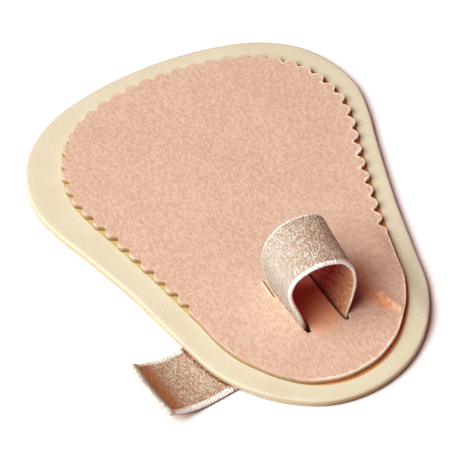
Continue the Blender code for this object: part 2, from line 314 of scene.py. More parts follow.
def smooth_curve(points, steps, closed):
    """Centripetal Catmull-Rom curve through the points, in equal steps of its parameter."""
    if closed:
        ends = np.vstack([points[-1:], points, points[:2]])
    else:
        ends = np.vstack([2 * points[0] - points[1], points, 2 * points[-1] - points[-2]])
    rows = []
    for p0, p1, p2, p3 in zip(ends, ends[1:], ends[2:], ends[3:]):
        t1 = math.sqrt(np.linalg.norm(p1 - p0))
        t2 = t1 + math.sqrt(np.linalg.norm(p2 - p1))
        t3 = t2 + math.sqrt(np.linalg.norm(p3 - p2))
        t = np.linspace(t1, t2, steps, endpoint=False)[:, None]
        a1 = (t1 - t) / t1 * p0 + t / t1 * p1
        a2 = (t2 - t) / (t2 - t1) * p1 + (t - t1) / (t2 - t1) * p2
        a3 = (t3 - t) / (t3 - t2) * p2 + (t - t2) / (t3 - t2) * p3
        b1 = (t2 - t) / t2 * a1 + t / t2 * a2
        b2 = (t3 - t) / (t3 - t1) * a2 + (t - t1) / (t3 - t1) * a3
        rows.append((t2 - t) / (t2 - t1) * b1 + (t - t1) / (t2 - t1) * b2)
    if not closed:
        rows.append(points[-1:])
    return np.vstack(rows)


def lengths_along(points):
    """Distance of each point along the polyline: the running sum of the lengths of its pieces."""
    return np.concatenate([[0.0], np.cumsum(np.linalg.norm(np.diff(points, axis=0), axis=1))])


def at_lengths(points, lengths, wanted):
    """The polyline's values at the wanted distances along it, by straight interpolation."""
    flat = points.reshape(len(points), -1)
    columns = [np.interp(wanted, lengths, flat[:, k]) for k in range(flat.shape[1])]
    return np.column_stack(columns).reshape(len(wanted), *points.shape[1:])


def pear_outline(length, width, left_column):
    """The pear outline, counter-clockwise from the toe end, its left side from the column given."""
    table = np.array(PAD_OUTLINE)
    along = (table[:, 0] - 0.5) * length
    right = np.column_stack([table[:, 1] * width / 2, along])
    left = np.column_stack([-table[:, left_column] * width / 2, along])[-2:0:-1]
    return smooth_curve(np.vstack([right, left]), CURVE_STEPS, closed=True)


def outward_normals(outline):
    """Unit normals of a closed counter-clockwise outline, from the chord between neighbours."""
    along = unit(np.roll(outline, -1, axis=0) - np.roll(outline, 1, axis=0))
    return np.column_stack([along[:, 1], -along[:, 0]])


def loop_place(across, toward_toe):
    """Plan position of a point of the loop, given across and along the slits from its middle."""
    x = LOOP_X + across + toward_toe * math.tan(LOOP_TURN)
    y = LOOP_Y - toward_toe - across * LOOP_STAGGER / SLIT_SPACING
    return np.stack(np.broadcast_arrays(x, y), axis=-1)


def foot(side):
    """Plan position of the middle of a leg, -1 for the left one and 1 for the right one."""
    return loop_place(side * SLIT_SPACING / 2, 0.0)


def strap_centre_y(x):
    """Plan centreline of the strap: it drifts towards the toe on both sides of the loop."""
    left_x, left_y = foot(-1)
    right_x, right_y = foot(1)
    out_left = np.maximum(left_x - x, 0.0)
    out_right = np.maximum(x - right_x, 0.0)
    between = np.clip((x - left_x) / (right_x - left_x), 0.0, 1.0)
    left_drop = out_left * math.tan(TAIL_ANGLE) + TAIL_DRIFT * smooth_step(out_left / UNDER_RUN)
    right_drop = ANCHOR_DRIFT * smooth_step(out_right / ANCHOR_LENGTH)
    return left_y + between * (right_y - left_y) - left_drop - right_drop


def drape(x, y):
    """1 over the strap under the pad, falling smoothly to 0 away from it."""
    off = np.abs(y - strap_centre_y(x)) - STRAP_WIDTH / 2 - DRAPE_SHOULDER
    past = x - foot(1)[0] - ANCHOR_LENGTH - DRAPE_SHOULDER
    return smooth_step(1.0 - off / DRAPE_RUN) * smooth_step(1.0 - past / DRAPE_END_RUN)


def new_piece(name, points, faces):
    """A mesh object at the origin from an array of points and lists of faces of equal length."""
    mesh = bpy.data.meshes.new(name)
    mesh.vertices.add(len(points))
    mesh.vertices.foreach_set("co", np.ascontiguousarray(points, np.float32).ravel())
    corners = np.concatenate([face.ravel() for face in faces])
    sizes = np.concatenate([np.full(len(face), face.shape[1]) for face in faces])
    mesh.loops.add(len(corners))
    mesh.loops.foreach_set("vertex_index", corners.astype(np.int32))
    mesh.polygons.add(len(sizes))
    mesh.polygons.foreach_set("loop_start", (np.cumsum(sizes) - sizes).astype(np.int32))
    mesh.polygons.foreach_set("use_smooth", np.ones(len(sizes), bool))
    mesh.update(calc_edges=True)
    piece = bpy.data.objects.new(name, mesh)
    bpy.context.scene.collection.objects.link(piece)
    return piece


def store(piece, name, values, kind="FLOAT"):
    """Store one value or vector for each point of the piece, for its material to read."""
    attribute = piece.data.attributes.new(name, kind, "POINT")
    key = "value" if kind == "FLOAT" else "vector"
    attribute.data.foreach_set(key, np.ascontiguousarray(values, np.float32).ravel())


def ring_quads(rows, around):
    """Four-sided faces between neighbouring rings of points."""
    row = np.arange(rows - 1)[:, None] * around
    step = np.arange(around)[None, :]
    ahead = (step + 1) % around
    quads = np.stack([row + step, row + ahead, row + around + ahead, row + around + step], -1)
    return quads.reshape(-1, 4)


def closed_rings(name, rings, under_middle, top_middle):
    """A closed skin of rings that run from the underside's middle out, up the edge and in again."""
    count, around = rings.shape[:2]
    poles = count * around
    last = poles - around
    step = np.arange(around)
    ahead = (step + 1) % around
    under_fan = np.column_stack([ahead, step, np.full(around, poles)])
    top_fan = np.column_stack([last + step, last + ahead, np.full(around, poles + 1)])
    points = np.vstack([rings.reshape(-1, 3), [under_middle], [top_middle]])
    return new_piece(name, points, [ring_quads(count, around), under_fan, top_fan])


def edge_rings(outline, inward, insets, heights):
    """The outline repeated up an edge, each time moved inward by an inset and set to a height."""
    level = np.broadcast_to(heights[:, None, None], (len(heights), len(outline), 1))
    return np.concatenate([outline + insets[:, None, None] * inward, level], axis=2)


def raise_over_strap(points, low, high, low_lift, high_lift):
    """Lift points over the strap, by a lift that changes evenly from the layer's foot to its top."""
    share = (points[..., 2] - low) / (high - low)
    lift = low_lift + (high_lift - low_lift) * share
    points[..., 2] += lift * drape(points[..., 0], points[..., 1])
    return points


def slit_outline(side):
    """A slit's outline: a narrow oval with squared ends, cos and sin each raised to a power."""
    half_width = (SLIT_INNER_GAP + WEAVE_THICKNESS + SLIT_OUTER_GAP) / 2
    half_length = (STRAP_WIDTH + CLEARANCE + SLIT_FRONT_GAP) / 2
    angle = np.linspace(0.0, 2.0 * math.pi, SLIT_POINTS, endpoint=False)
    cos, sin, power = np.cos(angle), np.sin(angle), 0.45
    across = np.sign(cos) * np.abs(cos) ** power * half_width
    along = np.sign(sin) * np.abs(sin) ** power * half_length
    along -= (SLIT_FRONT_GAP - CLEARANCE) / 2
    middle = side * (SLIT_SPACING / 2 + (SLIT_OUTER_GAP - SLIT_INNER_GAP) / 2)
    return loop_place(middle, 0.0) + np.column_stack([
        across * math.cos(LOOP_TURN) - along * math.sin(LOOP_TURN),
        across * math.sin(LOOP_TURN) + along * math.cos(LOOP_TURN)])


def cut_slits(piece):
    """Cut both slits through a layer with upright prisms, and keep only the cut mesh."""
    for side in (-1, 1):
        outline = slit_outline(side)
        around = len(outline)
        low = np.column_stack([outline, np.full(around, -PAD_TOP)])
        high = np.column_stack([outline, np.full(around, 3 * PAD_TOP)])
        caps = np.array([np.arange(around)[::-1], around + np.arange(around)])
        prism = new_piece(piece.name + "_slit", np.vstack([low, high]), [ring_quads(2, around), caps])
        cut = piece.modifiers.new("slit", "BOOLEAN")
        cut.operation = "DIFFERENCE"
        cut.solver = "EXACT"
        cut.object = prism
        bpy.context.view_layer.update()
        shaped = piece.evaluated_get(bpy.context.evaluated_depsgraph_get())
        uncut, piece.data = piece.data, bpy.data.meshes.new_from_object(shaped)
        piece.modifiers.clear()
        bpy.data.meshes.remove(uncut)
        bpy.data.meshes.remove(prism.data)
        piece.data.name = piece.name


def points_of(piece):
    """The piece's points as an array."""
    flat = np.empty(len(piece.data.vertices) * 3, np.float32)
    piece.data.vertices.foreach_get("co", flat)
    return flat.reshape(-1, 3).astype(float)


def make_foam_pad():
    """Rings of the pad's outline, stepped evenly by length: inset by 1 - cos and raised by sin round
    each corner of its edge, then shrunk evenly towards the loop's middle, and lifted over the strap."""
    fine = pear_outline(PAD_LENGTH, PAD_WIDTH, 2)
    loop = np.vstack([fine, fine[:1]])
    lengths = lengths_along(loop)
    around = round(lengths[-1] / EDGE_STEP)
    outline = at_lengths(loop, lengths, np.linspace(0.0, lengths[-1], around, endpoint=False))
    quarter = np.linspace(0.0, math.pi / 2, 6)
    out = 1.0 - np.cos(quarter)
    up = 1.0 - np.sin(quarter)
    insets = np.concatenate([FOAM_LOW_ROUND * up, FOAM_TOP_ROUND * out])
    heights = np.concatenate([FOAM_LOW_ROUND * out, BASE_TOP - FOAM_TOP_ROUND * up])
    edge = edge_rings(outline, -outward_normals(outline), insets, heights)
    under = np.linspace(0.0, 1.0, UNDER_RINGS + 1)[1:-1, None, None]
    top = np.linspace(1.0, 0.0, FOAM_TOP_RINGS)[1:-1, None, None]
    middle = np.array([*RING_MIDDLE, 0.0])
    top_middle = np.array([*RING_MIDDLE, BASE_TOP])
    rings = np.concatenate([
        middle + under * (edge[:1] - middle),
        edge,
        top_middle + top * (edge[-1:] - top_middle)])
    rings = raise_over_strap(rings, 0.0, BASE_TOP, BED_LIFT, PAD_LIFT)
    middles = raise_over_strap(np.array([middle, top_middle]), 0.0, BASE_TOP, BED_LIFT, PAD_LIFT)
    pad = closed_rings("foam_pad", rings, *middles)
    cut_slits(pad)
    return pad


def cover_outline():
    """The cover's plain outline, both sides alike, turned and moved to its place on the base."""
    outline = pear_outline(COVER_LENGTH, COVER_WIDTH, 1)
    cos, sin = math.cos(COVER_TURN), math.sin(COVER_TURN)
    return outline @ np.array([[cos, sin], [-sin, cos]]) + (COVER_X, 0.0)


def cover_edges():
    """The cover's pinked outline and the plain one just inside it, point for point.

    Notch depth falls evenly from the notch's middle to its mouth; the cut wanders by slow and quick
    sines of the distance round the edge, and each tooth is a little longer or shorter."""
    plain = cover_outline()
    start = np.flatnonzero(plain[:, 1] > PINKING_END_Y)[0]
    plain = np.roll(plain, -start, axis=0)
    normals = outward_normals(plain)
    ring = np.vstack([plain, plain[:1]])
    ring_normals = np.vstack([normals, normals[:1]])
    lengths = lengths_along(ring)
    pinked_length = lengths[np.flatnonzero(plain[:, 1] > PINKING_END_Y)[-1]]
    notches = round(pinked_length / TOOTH_PITCH)
    pitch = pinked_length / notches
    pinked = np.arange(notches * TOOTH_POINTS) * pitch / TOOTH_POINTS
    smooth_steps = round((lengths[-1] - pinked_length) / EDGE_STEP)
    smooth_part = np.linspace(pinked_length, lengths[-1], smooth_steps, endpoint=False)
    distances = np.concatenate([pinked, smooth_part])
    tooth = np.floor(distances / pitch)
    off_middle = np.abs(distances / pitch - tooth - 0.5) * pitch
    uneven = 1.0 + 0.10 * np.sin(tooth * 2.4) + 0.06 * np.sin(tooth * 5.1 + 1.0)
    depth = TOOTH_DEPTH * uneven * np.clip(1.0 - off_middle / (NOTCH_MOUTH / 2), 0.0, 1.0)
    depth = np.where(distances < pinked_length, depth, 0.0)
    wander = SLOW_WANDER * np.sin(distances / SLOW_WAVE)
    wander += QUICK_WANDER * np.sin(distances / QUICK_WAVE + 1.3)
    at = at_lengths(ring, lengths, distances)
    out = unit(at_lengths(ring_normals, lengths, distances))
    cut = at + out * (wander - depth)[:, None]
    inside = at - out * (TOOTH_DEPTH + BAND_BEHIND_NOTCHES)
    return cut, inside


def crease(x, y):
    """A short fold in the cover at the loop's right: 1 on a curved ridge, falling as a bell that is
    narrow on the left and wide on the right, and fading out at both ends."""
    down = (CREASE_START[1] - y) / CREASE_LENGTH
    ridge = CREASE_START[0] + CREASE_LEAN * CREASE_LENGTH * down ** 2
    off = x - ridge
    width = np.where(off < 0.0, CREASE_WIDTH * CREASE_LEFT_SHARE, CREASE_WIDTH)
    fade = 0.25
    return bell(off, width) * smooth_step(down / fade) * smooth_step((1.15 - down) / fade)


def orange_shade(x, y):
    """Painted shade on the cover: an orange penumbra strip of the loop's shadow beside its right leg,
    turning aside at its end, and a narrow line of painted shade along the foot of the fold."""
    down = (SHADE_STRIP_START_Y - y) / SHADE_STRIP_LENGTH
    off = x - SHADE_STRIP_X - SHADE_STRIP_TURN * np.clip(down, 0.0, 1.0) ** 4
    strip = bell(off, SHADE_STRIP_WIDTH) * smooth_step(down / 0.25) * smooth_step((0.98 - down) / 0.20)
    fold_foot = crease(x + 0.6 * CREASE_WIDTH, y) * 0.5
    return np.minimum(0.95 * strip + fold_foot, 1.0)


def loop_shade_tint(x, y):
    """How much painted red shade the cloth takes: most in an oval between the slits, under the loop."""
    across = (x - LOOP_X) / (0.52 * SLIT_SPACING)
    along = (y - LOOP_Y + 0.0010) / (0.62 * STRAP_WIDTH)
    return 0.75 * (1.0 - smooth_step((np.hypot(across ** 2, along) - 0.45) / 0.75))


def make_cover():
    """Rings from the pinked cut edge in to the plain outline behind the teeth, then shrunk evenly
    towards the loop's middle; the top corner is a quarter round of the fabric's skin."""
    cut, inside = cover_edges()
    quarter = np.linspace(0.0, math.pi / 2, 4)
    foot_inset = 0.00002
    insets = np.concatenate([[foot_inset], COVER_ROUND * (1.0 - np.cos(quarter))])
    heights = np.concatenate([[COVER_BOTTOM], PAD_TOP - COVER_ROUND * (1.0 - np.sin(quarter))])
    edge = edge_rings(cut, unit(inside - cut), insets, heights)
    low_inside = np.column_stack([inside, np.full(len(cut), COVER_BOTTOM)])
    top_inside = np.column_stack([inside, np.full(len(cut), PAD_TOP)])
    band = np.linspace(0.0, 1.0, 6)[1:-1, None, None]
    middle = np.array([*RING_MIDDLE, COVER_BOTTOM])
    top_middle = np.array([*RING_MIDDLE, PAD_TOP])
    under = np.linspace(0.0, 1.0, UNDER_RINGS)[1:, None, None]
    top = np.linspace(1.0, 0.0, COVER_TOP_RINGS)[:-1, None, None]
    rings = np.concatenate([
        middle + under * (low_inside - middle),
        low_inside + band * (edge[0] - low_inside),
        edge,
        edge[-1] + band * (top_inside - edge[-1]),
        top_middle + top * (top_inside - top_middle)])
    middles = np.array([middle, top_middle])
    top_rings = rings[-(len(top) + len(band)):]
    top_rings[..., 2] += CREASE_HEIGHT * crease(top_rings[..., 0], top_rings[..., 1])
    for part in (rings, middles):
        part[..., 2] += PAD_LIFT * drape(part[..., 0], part[..., 1])
    cover = closed_rings("pinked_cover", rings, *middles)
    cut_slits(cover)
    return cover


def slit_direction():
    """Unit direction along the slits, towards the toe."""
    return np.array([math.sin(LOOP_TURN), -math.cos(LOOP_TURN)])


def rims_at(centre, height, direction):
    """The strap's front and rear rim points beside each point of its centreline."""
    half = STRAP_WIDTH / 2 * direction
    front = np.column_stack([centre + half, height])
    rear = np.column_stack([centre - half, height])
    return np.stack([front, rear], axis=1)


def under_rims(out, height, side):
    """Rims of a run outside a slit, turning from the slit's direction to square with the run."""
    x = foot(side)[0] + side * out
    step = 0.00002
    slope = (strap_centre_y(x + step) - strap_centre_y(x - step)) / (2 * step)
    square = unit(np.column_stack([slope, -np.ones(len(x))]))
    share = smooth_step(out / TURN_RUN)[:, None]
    direction = unit(slit_direction() + share * (square - slit_direction()))
    return rims_at(np.column_stack([x, strap_centre_y(x)]), height, direction)


def bend_rims(side):
    """Rims of the quarter bend at a slit, from the flat run up to the leg."""
    angle = np.linspace(0.0, math.pi / 2, 12)[1:]
    out = BEND_RADIUS * (1.0 - np.sin(angle))
    height = LEG_BOTTOM - (LEG_BOTTOM - WEAVE_THICKNESS / 2) * np.cos(angle)
    centre = foot(side) + np.column_stack([side * out, np.zeros(len(out))])
    return rims_at(centre, height, slit_direction())


def loop_rims():
    """The loop's rims above the slits: one smooth curve each through its table's rows."""
    table = np.array(LOOP_RIMS)
    leg = (LEG_BOTTOM - LOOP_BASE) / LOOP_HEIGHT
    foot_share = SLIT_SPACING / LOOP_WIDTH
    first = np.array([[-foot_share, leg, -foot_share, leg], [-foot_share, 0.0, -foot_share, 0.0]])
    last = first[::-1] * (-1, 1, -1, 1)
    rows = np.vstack([first, table, last])
    rims = []
    for across, up, toward_toe in ((0, 1, 0.5), (2, 3, -0.5)):
        curve = smooth_curve(rows[:, (across, up)], CURVE_STEPS, closed=False)
        plan = loop_place(curve[:, 0] * LOOP_WIDTH / 2, toward_toe * STRAP_WIDTH)
        rims.append(np.column_stack([plan, LOOP_BASE + curve[:, 1] * LOOP_HEIGHT]))
    return np.stack(rims, axis=1)[1:-1]


def strap_rims():
    """The strap's two rims from the tail's tip to the anchored end, in even steps of length."""
    flat = WEAVE_THICKNESS / 2
    curl = np.linspace(TAIL_CURL, 0.0, 40, endpoint=False)
    curl_out = UNDER_RUN + TAIL_FLAT + TAIL_CURL_RADIUS * np.sin(curl)
    curl_up = flat + TAIL_CURL_RADIUS * (1.0 - np.cos(curl))
    tail = np.linspace(UNDER_RUN + TAIL_FLAT, BEND_RADIUS, 80)
    anchor = np.linspace(BEND_RADIUS, ANCHOR_LENGTH, 50)
    rims = np.concatenate([
        under_rims(curl_out, curl_up, -1),
        under_rims(tail, np.full(len(tail), flat), -1),
        bend_rims(-1),
        loop_rims(),
        bend_rims(1)[::-1],
        under_rims(anchor, np.full(len(anchor), flat), 1)])
    lengths = lengths_along(rims.mean(axis=1))
    keep = np.concatenate([[True], np.diff(lengths) > 1e-6])
    rims, lengths = rims[keep], lengths[keep]
    wanted = np.linspace(0.0, lengths[-1], round(lengths[-1] / STRAP_STEP) + 1)
    return at_lengths(rims, lengths, wanted), wanted


def make_strap():
    """A rounded flat section carried along the strap: a point is its place between the rims plus
    the surface's normal times the section's height there, which swells at the selvedges and at the
    tail's end. The attribute weave_place holds distance across, distance along and height."""
    rims, along = strap_rims()
    corner = np.radians(np.linspace(9.0, 90.0, 7))
    half = STRAP_WIDTH / 2
    low_part = -half + STRAP_ROUNDING * (1.0 - np.cos(corner))
    columns = np.linspace(low_part[-1], -low_part[-1], STRAP_COLUMNS + 1)[1:-1]
    across = np.concatenate([low_part, columns, -low_part[::-1]])
    height = np.concatenate([np.sin(corner), np.ones(len(columns)), np.sin(corner)[::-1]])
    selvedge = bell(half - SELVEDGE_INSET - np.abs(across), SELVEDGE_SWELL_WIDTH)
    height = WEAVE_THICKNESS / 2 * height * (1.0 + 0.10 * selvedge)
    share = 0.5 + across / STRAP_WIDTH
    grid = rims[:, :1] * (1.0 - share)[None, :, None] + rims[:, 1:] * share[None, :, None]
    bow = TAIL_END_BOW * (1.0 - (2.0 * share - 1.0) ** 2)
    fade = np.clip(1.0 - along / TAIL_BOW_RUN, 0.0, 1.0)
    grid = grid - unit(np.gradient(grid, axis=0)) * np.outer(fade, bow)[..., None]
    sideways = np.gradient(grid, axis=1)
    normal = unit(np.cross(np.gradient(grid, axis=0), sideways))
    picot = 0.00001 * np.sin(along * 2 * math.pi / RIB_PITCH)
    rim_share = np.clip((np.abs(across) - half + STRAP_ROUNDING) / STRAP_ROUNDING, 0.0, 1.0)
    grid = grid + unit(sideways) * np.outer(picot, rim_share * np.sign(across))[..., None]
    end = np.minimum(along, along[-1] - along)
    rounded_end = np.sqrt(np.clip(1.0 - (1.0 - (end + 0.00002) / 0.0004).clip(0.0) ** 2, 0.0, 1.0))
    bead = BEAD_SWELL * bell(along - BEAD_PLACE, BEAD_WIDTH)
    groove = GROOVE_DIP * bell(along - GROOVE_PLACE, GROOVE_WIDTH)
    offset = normal * np.outer(rounded_end * (1.0 + bead - groove), height)[..., None]
    points = np.concatenate([grid + offset, (grid - offset)[:, ::-1]], axis=1)
    rows, around = points.shape[:2]
    quads = np.roll(ring_quads(rows, around)[:, ::-1], 1, axis=1)
    pair = np.arange(len(across) - 1)
    near_cap = np.column_stack([pair, pair + 1, around - 2 - pair, around - 1 - pair])
    far_cap = near_cap[:, ::-1] + (rows - 1) * around
    strap = new_piece("woven_strap", points.reshape(-1, 3), [quads, near_cap, far_cap])
    place = np.empty((rows, around, 3))
    place[..., 0] = np.concatenate([across, across[::-1]])[None, :]
    place[..., 1] = along[:, None]
    place[..., 2] = np.concatenate([height, -height[::-1]])[None, :]
    store(strap, "weave_place", place.reshape(-1, 3), "FLOAT_VECTOR")
    # Weave openness along the strap, higher where it lies in shade: partly painted shade
    open_and_shade_share = np.interp(along, (*OPENNESS_AND_SHADE_PLACES, along[-1]), OPENNESS_AND_SHADE)
    store(strap, "openness_and_shade", np.repeat(open_and_shade_share, around))
    return strap


def set_input(node, key, value):
    """Link an input of the node from a socket, or set it to a value."""
    if isinstance(value, bpy.types.NodeSocket):
        node.id_data.links.new(value, node.inputs[key])
    else:
        node.inputs[key].default_value = value


def add_node(tree, kind, inputs=None, **settings):
    """A node with its settings, and its inputs set to values or linked from other sockets."""
    node = tree.nodes.new("ShaderNode" + kind)
    for name, value in settings.items():
        setattr(node, name, value)
    for key, value in (inputs or {}).items():
        set_input(node, key, value)
    return node


def maths(operation, *values):
    """The result of one Math node, in the tree that the first socket among the values is in."""
    tree = next(value.id_data for value in values if isinstance(value, bpy.types.NodeSocket))
    return add_node(tree, "Math", dict(enumerate(values)), operation=operation).outputs[0]


def times(product, *factors):
    """A socket's value multiplied by all that is given."""
    for factor in factors:
        product = maths("MULTIPLY", product, factor)
    return product


def blend(share, first, second):
    """The first colour turned into the second by the share, a socket."""
    node = add_node(share.id_data, "Mix", {0: share}, data_type="RGBA")
    for index, colour in ((6, first), (7, second)):
        set_input(node, index, (*colour, 1.0) if isinstance(colour, tuple) else colour)
    return node.outputs[2]


def painted(colour, *coats):
    """The colour under coats of others, which are laid on in turn, each by its share."""
    for share, coat in coats:
        colour = blend(share, colour, coat)
    return colour


def stored(tree, name):
    """A value that is stored at the piece's points."""
    return add_node(tree, "Attribute", attribute_name=name).outputs["Fac"]


def spread(value, low, high, new_low=0.0, new_high=1.0):
    """A socket's value carried smoothly from one range to another."""
    inputs = {"Value": value, "From Min": low, "From Max": high, "To Min": new_low, "To Max": new_high}
    node = add_node(value.id_data, "MapRange", inputs, interpolation_type="SMOOTHSTEP")
    return node.outputs["Result"]


def new_group(name, inputs, outputs):
    """An empty node group with a vector input, Place, and the numbers that are named in and out."""
    group = bpy.data.node_groups.new(name, "ShaderNodeTree")
    group.interface.new_socket("Place", in_out="INPUT", socket_type="NodeSocketVector")
    for way, labels in (("INPUT", inputs), ("OUTPUT", outputs)):
        for label in labels:
            group.interface.new_socket(label, in_out=way, socket_type="NodeSocketFloat")
    return group, group.nodes.new("NodeGroupInput").outputs, group.nodes.new("NodeGroupOutput").inputs


def make_fleck_group():
    """Irregular flecks of a given size, longer one way by the stretch, and their shade and height."""
    group, given, made = new_group("fibre_flecks", ("Size", "Stretch", "Softness"), ("Mask", "Height"))
    along = times(given["Size"], given["Stretch"])
    cell = add_node(group, "CombineXYZ", {"X": given["Size"], "Y": along, "Z": given["Size"]})
    scaled = add_node(group, "VectorMath", {0: given["Place"], 1: cell.outputs[0]}, operation="DIVIDE")
    noise = add_node(group, "TexNoise", {"Vector": scaled.outputs[0], "Scale": 1.0, "Roughness": 0.55,
                                         "Distortion": 0.3})
    low = maths("SUBTRACT", 0.5, given["Softness"])
    high = maths("ADD", 0.5, given["Softness"])
    group.links.new(spread(noise.outputs["Fac"], low, high), made["Mask"])
    group.links.new(noise.outputs["Fac"], made["Height"])
    return group


def make_weave_group():
    """Plain weave: cells of the two sizes stand up in turn, as sin x sin y does, with each yarn led
    a little astray by noise. Gap is 1 in the hollows between cells."""
    group, given, made = new_group("plain_weave", ("Across", "Along", "Stray"), ("Height", "Gap"))
    cell = add_node(group, "CombineXYZ", {"X": given["Across"], "Y": given["Along"], "Z": 1.0})
    scaled = add_node(group, "VectorMath", {0: given["Place"], 1: cell.outputs[0]}, operation="DIVIDE")
    noise = add_node(group, "TexNoise", {"Vector": scaled.outputs[0], "Scale": 0.55})
    centred = add_node(group, "VectorMath", {0: noise.outputs["Color"], 1: (0.5, 0.5, 0.5)},
                       operation="SUBTRACT")
    pull = times(given["Stray"], 6.0)
    astray = add_node(group, "VectorMath", {0: centred.outputs[0], "Scale": pull}, operation="SCALE")
    led = add_node(group, "VectorMath", {0: scaled.outputs[0], 1: astray.outputs[0]}, operation="ADD")
    parts = add_node(group, "SeparateXYZ", {0: led.outputs[0]})
    wave_x, wave_y = (maths("SINE", times(parts.outputs[axis], math.pi)) for axis in "XY")
    product = times(wave_x, wave_y)
    size = maths("ABSOLUTE", product)
    raised = maths("MULTIPLY_ADD", product, 0.35, maths("SQRT", size))
    group.links.new(raised, made["Height"])
    group.links.new(spread(size, 0.34, 0.06), made["Gap"])
    return group


def make_edge_group():
    """A lighter line beside a cut edge, pale frayed fibres with a painted highlight: 1 at the edge, gone
    past the width, and uneven.
    """
    group, given, made = new_group("cut_edge_fray_highlight", ("Distance", "Width"), ("Mask",))
    noise = add_node(group, "TexNoise", {"Vector": given["Place"], "Scale": 1400.0})
    uneven = spread(noise.outputs["Fac"], 0.3, 0.7, 0.55, 1.45)
    width = times(given["Width"], uneven)
    group.links.new(spread(given["Distance"], 0.0, width, 1.0, 0.0), made["Mask"])
    return group


def use_group(group, **inputs):
    """The outputs of a group placed in its place's tree with its own values."""
    return add_node(inputs["Place"].id_data, "Group", inputs, node_tree=group).outputs


def fleck_field(place, size, stretch, softness):
    """The outputs of a field of flecks."""
    return use_group(flecks, Place=place, Size=size, Stretch=stretch, Softness=softness)


def new_material(name):
    """A Principled material, its node tree and its shader."""
    material = bpy.data.materials.new(name)
    material.use_nodes = True
    return material, material.node_tree, material.node_tree.nodes["Principled BSDF"]


def finish_shader(shader, height, depth, inputs):
    """Set the shader's inputs, with its normal from a bump of the given depth at a height of 1."""
    bump = add_node(shader.id_data, "Bump", {"Height": height, "Distance": depth})
    for key, value in {**inputs, "Normal": bump.outputs["Normal"]}.items():
        set_input(shader, key, value)


def foam_material():
    """Cream latex foam: a soft skin with faint clouds and fine pores, with painted shade on the cut wall
    that is stronger on the right, a painted contact shadow along the floor and the cover's painted shadow
    beside its edge."""
    material, tree, shader = new_material("cream_foam_skin")
    place = add_node(tree, "TexCoord").outputs["Object"]
    cloud = fleck_field(place, size=0.009, stretch=1.3, softness=0.25)
    grain = fleck_field(place, size=0.00045, stretch=1.0, softness=0.22)
    right = stored(tree, "right_side")
    # Painted shade on the foam's cut wall, stronger on the right side, away from the light
    wall_shade_share = times(stored(tree, "wall"), spread(right, 0.0, 1.0, 0.35, 0.85))
    # The cover's painted shadow on the foam beside its edge, darker on the right
    cover_shadow_share = times(spread(stored(tree, "cover_shadow"), 0.35, 0.65),
                       spread(grain["Height"], 0.2, 0.6, 0.75, 1.0))
    colour = painted(
        blend(cloud["Mask"], FOAM_DEEP, FOAM_PALE),
        (times(grain["Mask"], 0.38), FOAM_PORE),
        (wall_shade_share, FOAM_WALL_SHADE),
        # Painted contact shadow at the foot of the wall
        (stored(tree, "floor_contact_shadow"), FLOOR_CONTACT_SHADOW),
        (cover_shadow_share, blend(right, COVER_SHADOW_LEFT, COVER_SHADOW_RIGHT)))
    finish_shader(shader, grain["Height"], 0.00006, {
        "Base Color": colour, "Specular IOR Level": 0.30,
        "Roughness": spread(grain["Height"], 0.3, 0.7, 0.74, 0.90)})
    return material


